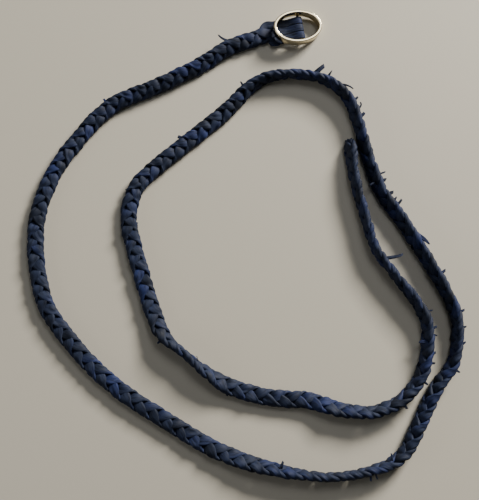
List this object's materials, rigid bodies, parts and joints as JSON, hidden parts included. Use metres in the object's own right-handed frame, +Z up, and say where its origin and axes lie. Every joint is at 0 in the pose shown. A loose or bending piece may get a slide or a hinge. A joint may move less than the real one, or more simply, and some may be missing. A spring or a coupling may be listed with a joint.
{
  "type": "braided belt",
  "caption": "Narrow waist belt plaited from leather thongs, with an oval metal band ring as its buckle, lying in an open spiral.",
  "frame": {"origin": "bottom centre of the lying belt's outline, on the surface it lies on", "axes": "+Z up from that surface; +Y away from the viewer, towards the buckle ring; +X to the right"},
  "size_m": [0.277, 0.3078, 0.0108],
  "materials": {
    "ring_metal": "polished pale gold",
    "thong_leather": "smooth navy, lightly worn"
  },
  "bodies": {
    "root": {"buckle_ring": "ring_metal", "thong_1": "thong_leather", "thong_2": "thong_leather", "thong_3": "thong_leather"}
  },
  "joints": []
}
